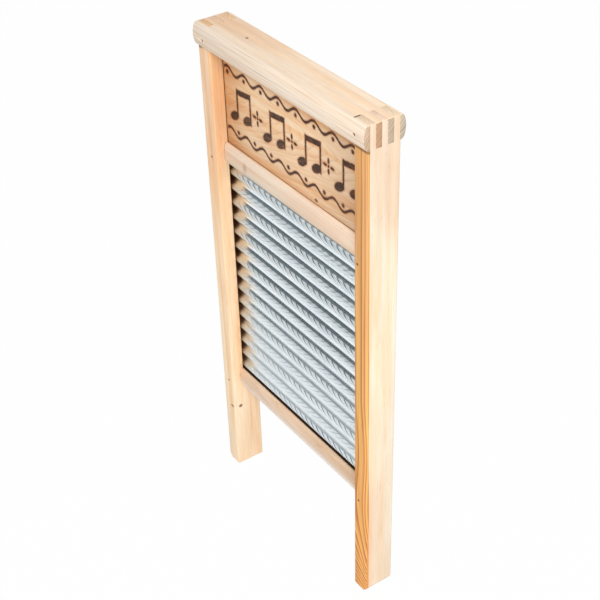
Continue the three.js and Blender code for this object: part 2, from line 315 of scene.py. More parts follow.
def pine(name, along, pith, spacing, early, late, warm, ends, wobble=2.0, taper=0.02,
         contrast=0.4, seed=0.0, knots=(), shaded_crevices=(), mark=None, bend=None):
    material, tree, shader = new_finish(name)
    place = place_on_piece(tree)
    space = add_node(tree, "ShaderNodeTexCoord").outputs
    grain = add_node(tree, "ShaderNodeMapping", {
        "Vector": space["Object"], "Rotation": along, "Scale": (1 / MM,) * 3,
        "Location": (-pith[0], -pith[1], seed)}).outputs["Vector"]

    radius, knot_shade = ring_radius(tree, grain, place, wobble, taper, knots, bend)
    rings = late_wood(tree, grain, radius, spacing)
    amount = times(tree, rings, contrast)
    colour = blend(tree, amount, early, late)
    streaks = fibres(tree, grain, **STREAKS)
    colour = tint(tree, spread(tree, streaks, 0.42, 0.68), colour, warm)
    patches = fibres(tree, grain, **PATCHES)
    colour = tint(tree, spread(tree, patches, 0.4, 0.7, 0.0, 0.8), colour, PATCH_GLAZE)
    fine = fibres(tree, grain, **LONG_FIBRES)
    colour = tint(tree, spread(tree, fine, 0.45, 0.75, 0.0, 0.4), colour, FIBRE_GLAZE)
    flecks = fibres(tree, grain, **FLECKS)
    colour = tint(tree, spread(tree, flecks, 0.70, 0.80, 0.0, 0.3), colour, FLECK_GLAZE)
    relief = plus(tree, times(tree, fine, 0.6), times(tree, amount, 0.4))
    if mark:
        colour, relief = mark(tree, place, colour, relief, rings)

    facing = axes_of(tree, space["Normal"])
    across = facing[0] if along == ALONG_X else facing[2]
    end_grain = spread(tree, size_of(tree, across), 0.75, 0.98)
    end_pale, end_dark = ends(tree, place) if callable(ends) else ends
    end_tone = blend(tree, rings, end_pale, end_dark)
    colour = blend(tree, times(tree, end_grain, END_SHARE), colour, end_tone)
    if knots:
        colour = blend(tree, times(tree, knot_shade, KNOT_SHARE), colour, KNOT_BROWN)
    # Painted shade: grooves, joints, a slit and the stile fronts under the head rail's nose are
    # darkened.
    for low, high, share in shaded_crevices:
        dark = times(tree, inside_box(tree, place, low, high), share)
        colour = blend(tree, dark, colour, GROOVE_SHADOW)

    feed(tree, shader.inputs["Base Color"], colour)
    feed(tree, shader.inputs["Roughness"], spread(tree, fine, 0.3, 0.7, 0.52, 0.68))
    shader.inputs["Specular IOR Level"].default_value = WOOD_SPECULAR
    bump = add_node(tree, "ShaderNodeBump",
                    {"Height": relief, "Strength": GRAIN_STRENGTH, "Distance": GRAIN_DEPTH})
    feed(tree, shader.inputs["Normal"], bump.outputs["Normal"])
    print(name, "nodes:", len(tree.nodes))
    return material


# %% [markdown]
# ## The board's burned ornament
# A hot iron has drawn a plain ornament on the board, of a kind that anyone might burn: two waving
# lines with dots, and between them paired notes with small rosettes. Thin raised pieces would stand
# proud, where a burn sinks in, so it is part of the finish. Each stroke is a distance in
# millimetres, so a narrow step gives the char and a wider one the scorched halo round it. Hard late
# wood resists the iron, so the char shows the rings as lighter stripes.

# %% Strokes
def cycle(tree, value, period):
    """A repeating coordinate from minus half a period to plus half."""
    part = calc(tree, "FRACT", plus(tree, calc(tree, "DIVIDE", value, period), 0.5))
    return times(tree, minus(tree, part, 0.5), period)


def slab(tree, value, centre, half):
    """Distance outside a band round a centre."""
    return minus(tree, size_of(tree, minus(tree, value, centre)), half)


def squared_part(tree, value, whole):
    return calc(tree, "POWER", size_of(tree, calc(tree, "DIVIDE", value, whole)), 2.0)


def oval(tree, x, z, centre_x, centre_z, long_half, short_half, lean=0.0):
    """Distance outside an oval, measured along its short side."""
    dx = minus(tree, x, centre_x)
    dz = minus(tree, minus(tree, z, centre_z), times(tree, dx, lean))
    square = plus(tree, squared_part(tree, dx, long_half), squared_part(tree, dz, short_half))
    return times(tree, minus(tree, calc(tree, "SQRT", square), 1.0), short_half)


# %% Waving lines with dots
ORNAMENT_MIDDLE = 393.5
ORNAMENT_HALF_WIDTH = 92.0
WAVE_LENGTH = 23.375
WAVE_SWING = 2.8
WAVE_HALF = 1.2
WAVE_ROW = 27.0
DOT_DROP = 2.2
DOT_HALF = 1.7


def wave_strokes(tree, x, z):
    turn = times(tree, x, 2 * math.pi / WAVE_LENGTH)
    swing = times(tree, calc(tree, "SINE", turn), WAVE_SWING)
    strokes = []
    for side in (-1, 1):
        row = ORNAMENT_MIDDLE + side * WAVE_ROW
        line = minus(tree, z, plus(tree, row, swing))
        strokes.append(slab(tree, line, 0.0, WAVE_HALF))
        dot_x = cycle(tree, plus(tree, x, -side * WAVE_LENGTH / 4), WAVE_LENGTH)
        dot_z = minus(tree, z, row)
        strokes.append(oval(tree, dot_x, dot_z, 0.0, -side * DOT_DROP, DOT_HALF, DOT_HALF))
    return strokes


print("waves in a line:", round(2 * ORNAMENT_HALF_WIDTH / WAVE_LENGTH, 1))


# %% Paired notes and rosettes
NOTE_SPACING = 46.75
NOTE_HEADS = (-10.3, 8.3)
NOTE_LOW = -11.0
NOTE_SLOPE = 0.12
HEAD_LONG, HEAD_SHORT, HEAD_LEAN = 6.0, 4.1, 0.35
STEM_ASIDE, STEM_HALF = 5.0, 1.0
STEM_MIDDLE, STEM_HALF_HEIGHT = 1.6, 12.6
BEAM_MIDDLE, BEAM_HALF = 12.2, 2.4
ROSETTE_REACH = 60.0
PETALS = ((0, 0, 1.2, 1.2), (0, 4.4, 1.3, 2.4), (0, -4.4, 1.3, 2.4),
          (4.4, 0, 2.4, 1.3), (-4.4, 0, 2.4, 1.3))


def note_strokes(tree, x, z):
    note_x = cycle(tree, plus(tree, x, NOTE_SPACING / 2), NOTE_SPACING)
    note_z = minus(tree, z, ORNAMENT_MIDDLE)
    strokes = []
    for head in NOTE_HEADS:
        low = NOTE_LOW + (head - NOTE_HEADS[0]) * NOTE_SLOPE
        strokes.append(oval(tree, note_x, note_z, head, low, HEAD_LONG, HEAD_SHORT, HEAD_LEAN))
        strokes.append(highest(tree, slab(tree, note_x, head + STEM_ASIDE, STEM_HALF),
                               slab(tree, note_z, STEM_MIDDLE, STEM_HALF_HEIGHT)))
    beam_z = minus(tree, note_z, times(tree, note_x, NOTE_SLOPE))
    beam_x = (NOTE_HEADS[0] + NOTE_HEADS[1]) / 2 + STEM_ASIDE
    beam_length = (NOTE_HEADS[1] - NOTE_HEADS[0]) / 2 + STEM_HALF
    strokes.append(highest(tree, slab(tree, note_x, beam_x, beam_length),
                           slab(tree, beam_z, BEAM_MIDDLE, BEAM_HALF)))
    return strokes


def rosette_strokes(tree, x, z):
    rose_x = cycle(tree, x, NOTE_SPACING)
    rose_z = minus(tree, z, ORNAMENT_MIDDLE)
    within = slab(tree, x, 0.0, ROSETTE_REACH)
    return [highest(tree, oval(tree, rose_x, rose_z, *petal), within) for petal in PETALS]


print("pairs of notes across the board:", round(2 * ORNAMENT_HALF_WIDTH / NOTE_SPACING, 1))


# %% Char and scorch
BOARD_FRONT = -1.5
CHAR_SHARE, CHAR_DEPTH, CHAR_RAGGEDNESS = 0.97, 2.5, 1.1
LEFT_END_GLAZE = shade(224, 198, 168)
RIGHT_END_GLAZE = shade(224, 220, 220)
HALO_GLAZE = shade(196, 136, 84)
CHAR, CHAR_STRIPE = shade(42, 20, 12), shade(136, 88, 54)


def burned_ornament(tree, place, colour, relief, rings):
    """The board's own mark: darker ends, and the ornament burned into its front."""
    x, y, z = axes_of(tree, place)
    strokes = wave_strokes(tree, x, z) + note_strokes(tree, x, z) + rosette_strokes(tree, x, z)
    nearest = lowest(tree, *strokes)
    nearest = highest(tree, nearest, slab(tree, x, 0.0, ORNAMENT_HALF_WIDTH))
    colour = tint(tree, spread(tree, x, -95.0, -50.0, 0.85, 0.0), colour, LEFT_END_GLAZE)
    colour = tint(tree, spread(tree, x, 10.0, 80.0, 0.0, 0.9), colour, RIGHT_END_GLAZE)
    ragged = minus(tree, noise(tree, place, 0.8), 0.5)
    nearest = plus(tree, nearest, times(tree, ragged, CHAR_RAGGEDNESS))
    front = calc(tree, "LESS_THAN", y, BOARD_FRONT)
    halo = times(tree, spread(tree, nearest, 0.1, 1.6, 0.5, 0.0), front)
    char = times(tree, spread(tree, nearest, -0.3, 0.3, 1.0, 0.0), front)
    stripes = times(tree, rings, noise(tree, place, 0.25))
    stripes = plus(tree, stripes, spread(tree, noise(tree, place, 0.45), 0.5, 0.75, 0.0, 0.5))
    colour = tint(tree, halo, colour, HALO_GLAZE)
    scorch = blend(tree, stripes, CHAR, CHAR_STRIPE)
    colour = blend(tree, times(tree, char, CHAR_SHARE), colour, scorch)
    return colour, minus(tree, relief, times(tree, char, CHAR_DEPTH))


# %% [markdown]
# ## Darker and greyer places on the rails
# No plank is one colour all over, and the middle rail has a faint stain. Other places are painted
# light and shade: the head rail's rounded front is painted greyer than its top as shade, with fine
# long lines, and the lower rail is painted a little warmer on top as shade and paler below with
# light from the floor. It is also duller at its right end. Painting them by hand would need a map
# of every face, so each is a soft step between two places on the piece.

# %% Rail marks
HEAD_FRONT_PAINTED_SHADE, HEAD_LINE_GLAZE = shade(240, 232, 220), shade(222, 212, 204)
DULL_GLAZE, TOP_PAINTED_SHADE_GLAZE = shade(226, 222, 218), shade(250, 238, 226)
UNDERSIDE_PAINTED_LIGHT = shade(252, 242, 236)
STAIN_MIDDLE = (-62.5, -8.0, 343.5)
STAIN_HALF = (3.0, 4.0, 4.5)
STAIN_GLAZE = shade(200, 176, 172)


def head_front(tree, place, colour, relief, rings):
    front = spread(tree, axes_of(tree, place)[1], -17.0, -11.0, 1.0, 0.0)
    lines = noise(tree, stretch(tree, place, (0.012, 1, 1)), 1.3)
    lines = spread(tree, lines, 0.48, 0.7, 0.15, 0.9)
    # Painted shade: the rounded front is mixed towards grey.
    colour = blend(tree, times(tree, front, 0.5), colour, HEAD_FRONT_PAINTED_SHADE)
    return tint(tree, times(tree, front, lines), colour, HEAD_LINE_GLAZE), relief


def rail_places(tree, place, colour, relief, rings):
    x, _, z = axes_of(tree, place)
    lower = spread(tree, z, 150.0, 200.0, 1.0, 0.0)
    dull = times(tree, spread(tree, x, -30.0, 95.0, 0.0, 0.9), lower)
    colour = tint(tree, dull, colour, DULL_GLAZE)
    # Painted shade on the lower rail's top, and painted light from the floor on its underside.
    top = times(tree, lower, spread(tree, z, 106.0, 113.0))
    colour = tint(tree, top, colour, TOP_PAINTED_SHADE_GLAZE)
    under = times(tree, lower, spread(tree, z, 100.0, 107.5, 0.75, 0.0))
    colour = blend(tree, under, colour, UNDERSIDE_PAINTED_LIGHT)
    off = away_from(tree, place, STAIN_MIDDLE, STAIN_HALF)
    return tint(tree, spread(tree, off, 0.0, 1.5, 0.8, 0.0), colour, STAIN_GLAZE), relief


# %% [markdown]
# ## Heartwood
# The right stile was sawn beside the heart of the tree. Its front is orange heartwood with close
# dark rings, and a few millimetres of it wrap round onto the side, more at the foot than at the
# head. Its rings bulge a little above the lower rail and dive out of the face at the toe. The left
# stile's inner face is warmer towards the top, partly warmer wood and partly painted shade under
# the head rail. The border of heartwood is a surface in the tree, so it is written as a depth that
# changes with height.

# %% Right stile's heartwood
STILE_FRONT = -14.0
HEART_REACH_AT_FOOT = 3.1
HEART_REACH_LOSS = 0.0043
HEART_ORANGES = shade(253, 192, 120), shade(255, 206, 116)
HEART_HIGH_GLAZE, HEART_LOW_GLAZE = shade(236, 236, 255), shade(253, 238, 232)
HEART_INNER_GLAZE, HEART_LINE = shade(238, 222, 214), shade(180, 100, 42)
SAPWOOD_HIGH_GLAZE, SAPWOOD_BLUSH = shade(244, 240, 240), shade(255, 208, 172)


def right_heartwood(tree, place, colour, relief, rings):
    x, y, z = axes_of(tree, place)
    edge = minus(tree, STILE_FRONT + HEART_REACH_AT_FOOT, times(tree, z, HEART_REACH_LOSS))
    waver = minus(tree, fibres(tree, place, 0.03, 0.4, 1.0), 0.5)
    beyond = plus(tree, minus(tree, y, edge), times(tree, waver, 0.8))
    stripe = noise(tree, stretch(tree, place, (1, 0.2, 0.008)), 0.5)
    orange = blend(tree, spread(tree, stripe, 0.35, 0.65), *HEART_ORANGES)
    orange = tint(tree, spread(tree, z, 120.0, 420.0), orange, HEART_HIGH_GLAZE)
    orange = tint(tree, spread(tree, z, 60.0, 260.0, 0.9, 0.0), orange, HEART_LOW_GLAZE)
    browner = times(tree, spread(tree, x, 94.0, 104.0, 1.0, 0.0), 0.6)
    orange = tint(tree, browner, orange, HEART_INNER_GLAZE)
    fine = noise(tree, stretch(tree, place, (1, 0.3, 0.012)), 1.1)
    fine = times(tree, spread(tree, fine, 0.5, 0.68), spread(tree, z, 60.0, 160.0, 0.1, 0.55))
    lines = highest(tree, lowest(tree, times(tree, rings, 2.0), 1.0), fine)
    lined = blend(tree, times(tree, lines, 0.8), orange, HEART_LINE)
    colour = tint(tree, spread(tree, z, 300.0, 450.0), colour, SAPWOOD_HIGH_GLAZE)
    blush = times(tree, spread(tree, z, 20.0, 150.0, 0.55, 0.12),
                  spread(tree, beyond, 0.0, 7.0, 1.0, 0.0))
    colour = tint(tree, blush, colour, SAPWOOD_BLUSH)
    return blend(tree, spread(tree, beyond, -0.35, 0.35, 1.0, 0.0), colour, lined), relief


reach_at_head = HEART_REACH_AT_FOOT - HEART_REACH_LOSS * cad_high.z / MM
print("heartwood's reach on the side, mm:", HEART_REACH_AT_FOOT, "to", round(reach_at_head, 1))


# %% Rings that dive at the toe, and the left stile's warmth and painted shade
BULGE_HEIGHT, BULGE_REACH, BULGE = 160.0, 60.0, -1.6
TOE_DIVES = ((105.0, -20.0), (40.0, -11.0))
WARM_WOOD_AND_SHADE_GLAZE, COOL_GLAZE = shade(240, 216, 192), shade(246, 236, 236)


def toe_sweep(tree, place):
    """Bends the front's rings: they bulge higher up and dive out of the face at the foot."""
    _, y, z = axes_of(tree, place)
    bulge_off = size_of(tree, minus(tree, z, BULGE_HEIGHT))
    bend = spread(tree, bulge_off, 0.0, BULGE_REACH, BULGE, 0.0)
    for reach, depth in TOE_DIVES:
        low = highest(tree, minus(tree, 1.0, calc(tree, "DIVIDE", z, reach)), 0.0)
        bend = plus(tree, bend, times(tree, calc(tree, "POWER", low, 2.0), depth))
    return times(tree, bend, spread(tree, y, -13.0, -9.0, 1.0, 0.0))


def left_heartwood_and_shade(tree, place, colour, relief, rings):
    x, _, z = axes_of(tree, place)
    inner = spread(tree, x, -97.5, -94.5)
    # Warmer wood with painted shade under the head rail, on the inner face towards the top.
    warm = times(tree, inner, spread(tree, z, 90.0, 440.0, curve="LINEAR"))
    colour = tint(tree, warm, colour, WARM_WOOD_AND_SHADE_GLAZE)
    cool = times(tree, minus(tree, 1.0, inner),
                 spread(tree, z, 200.0, 440.0, 0.0, 0.8, "LINEAR"))
    return tint(tree, cool, colour, COOL_GLAZE), relief


# %% [markdown]
# ## Six pieces of pine
# Each piece came from another plank, so each gets its own pith, ring width and tone; the two lower
# rails share one. The left stile has a small knot low down that shows on two faces. Each end of the
# head rail shows seven fingers, four of the rail and three of the stile, and no two pieces of end
# grain have quite the same colour, so their tones change from finger to finger.

# %% Tones of the cut ends
TONE_REACH = 20.0


def finger_tones(bands, darker):
    """End-grain colours that change with depth, for a pine's ends."""
    stops = [((start + TONE_REACH) / (2 * TONE_REACH), tone) for start, tone in bands]

    def tones(tree, place):
        y = axes_of(tree, place)[1]
        depth = spread(tree, y, -TONE_REACH, TONE_REACH, curve="LINEAR")
        pale = ramp(tree, depth, stops, "CONSTANT")
        return pale, tint(tree, 1.0, pale, darker)
    return tones


head_ends = finger_tones(
    [(-20, shade(214, 184, 154)), (-8, shade(202, 158, 124)), (0, shade(200, 180, 156)),
     (8, shade(206, 190, 168))], shade(146, 126, 110))
left_ends = finger_tones(
    [(-20, shade(230, 186, 140)), (-4, shade(232, 198, 168)), (4, shade(236, 200, 158))],
    shade(226, 214, 202))
right_ends = finger_tones(
    [(-20, shade(238, 212, 180)), (-4, shade(246, 216, 190)), (4, shade(244, 220, 188))],
    shade(232, 222, 212))
plain_ends = (shade(222, 190, 156), shade(176, 136, 100))

# %% Painted shade in grooves and joints
GROOVE_HALF = 2.75
GROOVE_END = 105.0


def groove(low, high, share):
    """Painted shade in a groove that runs along a rail, between two heights."""
    return (-GROOVE_END, -GROOVE_HALF, low), (GROOVE_END, GROOVE_HALF, high), share


def both_ends(inner, depth, low, high, share):
    """Painted shade in the joints at a piece's left and right end, beyond an inner place."""
    return [((-GROOVE_END, -depth, low), (-inner, depth, high), share),
            ((inner, -depth, low), (GROOVE_END, depth, high), share)]


# Boxes of painted shade in grooves, joints, the slit beside the first finger, and on the stile
# fronts under the head rail's nose.
finger_slit_shade = ((93.3, -14.3, 455.0), (94.7, -9.2, 458.0), 0.95)
left_joint_shade = (((-104.0, -GROOVE_HALF, 98.0), (-93.75, GROOVE_HALF, 437.0), 0.35),
               ((-110.0, -15.0, 434.9), (-104.0, -12.5, 438.0), 0.55))
right_joint_shade = (((93.75, -GROOVE_HALF, 98.0), (104.0, GROOVE_HALF, 437.0), 0.35),
                ((93.0, -15.0, 434.9), (110.0, -12.5, 438.0), 0.55), finger_slit_shade)
head_joint_shade = (groove(437.8, 443.0, 0.92), finger_slit_shade)
rail_joint_shade = (groove(334.6, 339.6, 0.92), groove(348.0, 353.0, 0.5), groove(110.2, 115.2, 0.92),
               *both_ends(93.05, 9.0, 330.0, 358.0, 0.75),
               *both_ends(93.2, 9.0, 90.0, 120.0, 0.4))
board_joint_shade = (*both_ends(93.0, 5.0, 340.0, 450.0, 0.6),
                ((-GROOVE_END, -5.0, 340.0), (GROOVE_END, 5.0, 353.5), 0.35))
print("dark places on rails and board:", len(rail_joint_shade) + len(board_joint_shade))

# %% Pine for each piece
left_stile_pine = pine(
    "left_stile_pine", ALONG_Z, pith=(-128.0, -34.0), spacing=2.6, early=shade(255, 232, 200),
    late=shade(232, 192, 152), warm=shade(252, 236, 216), ends=left_ends, taper=0.012,
    seed=40.0, mark=left_heartwood_and_shade, shaded_crevices=left_joint_shade,
    knots=(((-98.0, -14.0, 71.7), (2.7, 1.5, 1.4), 3.0),
           ((-93.5, -7.7, 71.5), (1.0, 2.2, 1.9), 2.5)))
right_stile_pine = pine(
    "right_stile_pine", ALONG_Z, pith=(84.0, -44.0), spacing=3.0, early=shade(255, 242, 220),
    late=shade(249, 226, 200), warm=shade(255, 247, 234), ends=right_ends, wobble=1.2,
    taper=0.004, contrast=0.35, seed=120.0, mark=right_heartwood, bend=toe_sweep,
    shaded_crevices=right_joint_shade)
head_pine = pine(
    "head_pine", ALONG_X, pith=(-385.0, 66.0), spacing=2.2, early=shade(254, 233, 208),
    late=shade(232, 200, 170), warm=shade(254, 244, 231), ends=head_ends, wobble=4.0,
    taper=0.015, contrast=0.25, seed=300.0, mark=head_front, shaded_crevices=head_joint_shade,
    knots=(((-57.1, -1.2, 457.0), (1.7, 1.1, 1.5), 2.0),))
rail_pine = pine(
    "rail_pine", ALONG_X, pith=(-90.0, 60.0), spacing=2.2, early=shade(241, 223, 203),
    late=shade(210, 180, 152), warm=shade(250, 238, 226), ends=plain_ends, wobble=4.0,
    taper=0.03, seed=210.0, mark=rail_places, shaded_crevices=rail_joint_shade)
board_pine = pine(
    "board_pine", ALONG_X, pith=(-398.0, 30.0), spacing=2.0, early=shade(250, 222, 187),
    late=shade(206, 160, 120), warm=shade(250, 230, 206), ends=plain_ends, wobble=8.0,
    taper=0.12, contrast=0.45, seed=77.0, mark=burned_ornament, shaded_crevices=board_joint_shade,
    knots=(((30.3, -2.0, 356.6), (2.4, 2.0, 1.6), 5.0),))

# %% [markdown]
# ## Galvanised steel and old brads
# Zinc is bright but never a mirror: it has a soft gloss and a slightly cool, cloudy tone. The
# sheet's measures come first, because the finish follows its shape: the rolled ropes are duller
# than the smooth flanks between them, and each groove between two strands gets a painted dark line
# of shade and of the dark card's reflection. Those lines are thinner than the mesh could carry, so
# they belong to the finish. Beside the stiles the sheet is painted tan as a reflection of their
# wood, lower down it is duller, under the middle rail runs a painted line of shade, and near and in
# the frame's grooves it is painted brown as shadow. The brads are plain steel that has browned.

# %% Measures of the sheet
RIDGES = 15
RIDGE_PITCH = 14.64
RIDGE_DEPTH = 3.7
LOWEST_CREST = 119.8
ROPE_HALF = 3.2
ROPE_BULGE = 0.42
ROPE_RELIEF = 0.22
STRAND_PITCH = 8.2
STRAND_LEAD = 17.0
COLUMNS_PER_STRAND = 6
CREST_MARGIN = 0.05
SPARE_STRANDS = 2

sheet_low, sheet_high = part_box("rub_sheet")
crest_y = sheet_low.y / MM + CREST_MARGIN + ROPE_BULGE
half_sheet = sheet_high.x / MM
spare = SPARE_STRANDS * STRAND_PITCH
column_count = round(2 * (half_sheet + spare) / STRAND_PITCH * COLUMNS_PER_STRAND)
column_step = 2 * (half_sheet + spare) / column_count
first_column = -half_sheet - spare
print("sheet, mm:", [round(v / MM, 2) for v in (*sheet_low, *sheet_high)])


# %% Where ropes and strands lie
def rope_and_grooves(tree, x, z):
    """How much a place lies on a rope, and how much in a groove between two strands.

    The grooves of one hand get a darker painted line of shade than those of the other.
    """
    turns = calc(tree, "DIVIDE", minus(tree, z, LOWEST_CREST), RIDGE_PITCH)
    ridge = calc(tree, "ROUND", turns)
    odd = calc(tree, "FLOORED_MODULO", ridge, 2.0)
    hand = minus(tree, times(tree, odd, 2.0), 1.0)
    up = times(tree, minus(tree, turns, ridge), RIDGE_PITCH)
    lead = times(tree, hand, up, STRAND_LEAD / 2 / ROPE_HALF)
    along = minus(tree, x, lead, first_column)
    off = size_of(tree, cycle(tree, along, column_step * COLUMNS_PER_STRAND))
    rope = spread(tree, size_of(tree, up), ROPE_HALF - 0.5, ROPE_HALF + 0.1, 1.0, 0.0)
    groove_shade_weight = calc(tree, "MULTIPLY_ADD", hand, -0.3, 0.7)
    return rope, times(tree, rope, groove_shade_weight, spread(tree, off, 0.25, 1.25, 1.0, 0.0))


print("strands across the sheet:", round(2 * half_sheet / STRAND_PITCH))


# %% Zinc
ZINC_TONES = [(0.25, shade(226, 235, 240)), (0.55, shade(236, 243, 246)),
              (0.85, shade(244, 248, 248))]
STRAND_LINE_PAINTED_SHADE, STILE_REFLECTION_GLAZE = shade(52, 62, 68), shade(226, 202, 172)
UNDER_RAIL_SHADE_GLAZE, SLOT_SHADE_GLAZE = shade(120, 124, 116), shade(150, 108, 74)
TAN_FROM, TAN_FULL = 76.0, 90.0
SLOT_FROM, SLOT_FULL = 88.0, 94.5
ROPE_DULLNESS = 0.26
ZINC_DEPTH, ZINC_STRENGTH = 0.1 * MM, 0.05


def galvanised(name):
    material, tree, shader = new_finish(name)
    place = place_on_piece(tree)
    cloud = noise(tree, stretch(tree, place, (0.35, 1, 1)), 0.06, 3.0)
    spangle = add_node(tree, "ShaderNodeTexVoronoi", {"Vector": place, "Scale": 0.2})
    flake = add_node(tree, "ShaderNodeSeparateColor", {0: spangle.outputs["Color"]}).outputs[0]
    tone = plus(tree, times(tree, flake, 0.25), times(tree, cloud, 0.75))
    colour = ramp(tree, tone, ZINC_TONES)

    x, _, z = axes_of(tree, place)
    rope, painted_groove_shade = rope_and_grooves(tree, x, z)
    aside = size_of(tree, x)
    toward_right = plus(tree, x, times(tree, z, 0.35))
    line = times(tree, painted_groove_shade, spread(tree, aside, TAN_FROM, TAN_FULL, 0.95, 0.1),
                 spread(tree, toward_right, -30.0, 60.0, 0.35, 1.0))
    # Painted shade and reflection: dark lines in the strand grooves, fading towards the lower left.
    colour = tint(tree, line, colour, STRAND_LINE_PAINTED_SHADE)
    # Painted reflection: the stiles' wood tints the sheet tan beside them.
    colour = tint(tree, spread(tree, aside, TAN_FROM, TAN_FULL, 0.0, 0.7), colour, STILE_REFLECTION_GLAZE)
    # Painted shade on the sheet just under the middle rail.
    colour = tint(tree, spread(tree, z, 328.5, 332.0, 0.0, 0.8), colour, UNDER_RAIL_SHADE_GLAZE)
    # Painted shade: the sheet turns brown near and inside the stiles' and rails' grooves.
    painted_slot_shade = highest(tree, spread(tree, aside, SLOT_FROM, SLOT_FULL),
                     spread(tree, z, 115.3, 116.2, 1.0, 0.0), spread(tree, z, 333.4, 334.2))
    colour = tint(tree, times(tree, painted_slot_shade, 0.9), colour, SLOT_SHADE_GLAZE)
    feed(tree, shader.inputs["Base Color"], colour)

    shader.inputs["Metallic"].default_value = 1.0
    gloss = plus(tree, spread(tree, tone, 0.3, 0.8, 0.18, 0.13), times(tree, rope, ROPE_DULLNESS))
    dull = plus(tree, spread(tree, aside, 70.0, 90.0, 0.0, 0.22),
                spread(tree, z, 150.0, 245.0, 0.16, 0.0))
    feed(tree, shader.inputs["Roughness"], plus(tree, gloss, dull))
    grain = noise(tree, stretch(tree, place, (0.3, 1, 1)), 0.9)
    bump = add_node(tree, "ShaderNodeBump",
                    {"Height": grain, "Strength": ZINC_STRENGTH, "Distance": ZINC_DEPTH})
    feed(tree, shader.inputs["Normal"], bump.outputs["Normal"])
    print(name, "nodes:", len(tree.nodes))
    return material


sheet_zinc = galvanised("sheet_zinc")

# %% Browned steel
RUST_TONES = [(0.3, shade(60, 42, 30)), (0.7, shade(122, 82, 51))]


def browned_steel(name):
    material, tree, shader = new_finish(name)
    rust = noise(tree, place_on_piece(tree), 1.8, 3.0)
    feed(tree, shader.inputs["Base Color"], ramp(tree, rust, RUST_TONES))
    feed(tree, shader.inputs["Roughness"], spread(tree, rust, 0.2, 0.8, 0.45, 0.75))
    shader.inputs["Metallic"].default_value = 0.4
    print(name, "nodes:", len(tree.nodes))
    return material


brad_steel = browned_steel("brad_steel")

# %% [markdown]
# ## Wooden pieces
# The frame's solids already have the true outline, grooves and fingers. What they lack is the
# hair's breadth of rounding that sandpaper leaves. Modelling them again from boxes would risk the
# joints' fit, so each wooden piece is a copy of its solid: the copy's loose triangles are merged,
# flat areas become single faces, and a small bevel eases the edges.

# %% Ease the edges of a copied solid
SANDED_EDGE = 0.35 * MM
SHARP_ANGLE = math.radians(32.0)
FLAT_ANGLE = math.radians(0.4)
MERGE_DISTANCE = 0.002 * MM


def deselect():
    if bpy.context.object and bpy.context.object.mode != "OBJECT":
        bpy.ops.object.mode_set(mode="OBJECT")
    bpy.ops.object.select_all(action="DESELECT")


def activate(piece):
    deselect()
    piece.select_set(True)
    bpy.context.view_layer.objects.active = piece


def eased_copy(node, name, material):
    piece = bpy.data.objects.new(name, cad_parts[node].data.copy())
    bpy.context.collection.objects.link(piece)
    activate(piece)
    bpy.ops.object.mode_set(mode="EDIT")
    bpy.ops.mesh.select_all(action="SELECT")
    bpy.ops.mesh.customdata_custom_splitnormals_clear()
    bpy.ops.mesh.remove_doubles(threshold=MERGE_DISTANCE)
    bpy.ops.mesh.dissolve_limited(angle_limit=FLAT_ANGLE)
    bpy.ops.object.mode_set(mode="OBJECT")
    bevel = piece.modifiers.new("sanded", "BEVEL")
    bevel.width = SANDED_EDGE
    bevel.segments = 2
    bevel.limit_method = "ANGLE"
    bevel.angle_limit = SHARP_ANGLE
    bpy.ops.object.modifier_apply(modifier=bevel.name)
    bpy.ops.object.shade_smooth_by_angle(angle=SHARP_ANGLE)
    piece.data.materials.clear()
    piece.data.materials.append(material)
    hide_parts(node)
    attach(piece, "root")
    print(name, "faces:", len(piece.data.polygons))


# %% Stiles, rails and board
eased_copy("left_stile", "left_stile_wood", left_stile_pine)
eased_copy("right_stile", "right_stile_wood", right_stile_pine)
eased_copy("top_rail", "head_rail_wood", head_pine)
eased_copy("mid_rail", "middle_rail_wood", rail_pine)
eased_copy("bottom_rail", "bottom_rail_wood", rail_pine)
eased_copy("name_panel", "board_wood", board_pine)

# %% [markdown]
# ## The rubbing sheet
# This is the washboard's voice. The sheet is one wave with a crest every 14.6 mm, and each crest is
# rolled into a rope whose strands run slantwise, left-handed and right-handed in turn. Bump in the
# finish would leave the crests' outline smooth, so the strands are modelled. A grid is the natural
# start. Its columns lean with the strands, so that the sharp valley between two strands lies
# exactly on a column. The grid starts too wide, because leaning columns need room, and is then
# bisected at the sheet's true edges and given its thickness.

# %% The sheet's profile
ROPE_ROWS = 8
VALLEY_ROWS = 7
FOOT_ROWS = 3
LAST_ROW_GAP = 0.3


def wave(z):
    turn = (z - LOWEST_CREST) / RIDGE_PITCH * 2 * math.pi
    return crest_y + RIDGE_DEPTH * (1 - math.cos(turn)) / 2


def rope_place(z):
    """The nearest ridge's twist, and how far up its rope a height is, from -1 to 1."""
    ridge = min(max(round((z - LOWEST_CREST) / RIDGE_PITCH), 0), RIDGES - 1)
    up = (z - LOWEST_CREST - ridge * RIDGE_PITCH) / ROPE_HALF
    return (-1 if ridge % 2 == 0 else 1), max(-1.0, min(1.0, up))


def row_heights():
    """Heights of the grid's rows: close on each rope, and between the ropes as well."""
    low, top = sheet_low.z / MM, sheet_high.z / MM
    valley = RIDGE_PITCH - 2 * ROPE_HALF
    foot = LOWEST_CREST - RIDGE_PITCH / 2
    rows = [low] + [foot + valley / 2 * k / FOOT_ROWS for k in range(FOOT_ROWS)]
    for ridge in range(RIDGES):
        crest = LOWEST_CREST + ridge * RIDGE_PITCH
        rows += [crest - ROPE_HALF + 2 * ROPE_HALF * k / ROPE_ROWS for k in range(ROPE_ROWS + 1)]
        rows += [crest + ROPE_HALF + valley * (k + 1) / (VALLEY_ROWS + 1)
                 for k in range(VALLEY_ROWS)]
    return [z for z in rows if z < top - LAST_ROW_GAP] + [top]


heights = row_heights()
print("rows:", len(heights), "columns:", column_count)

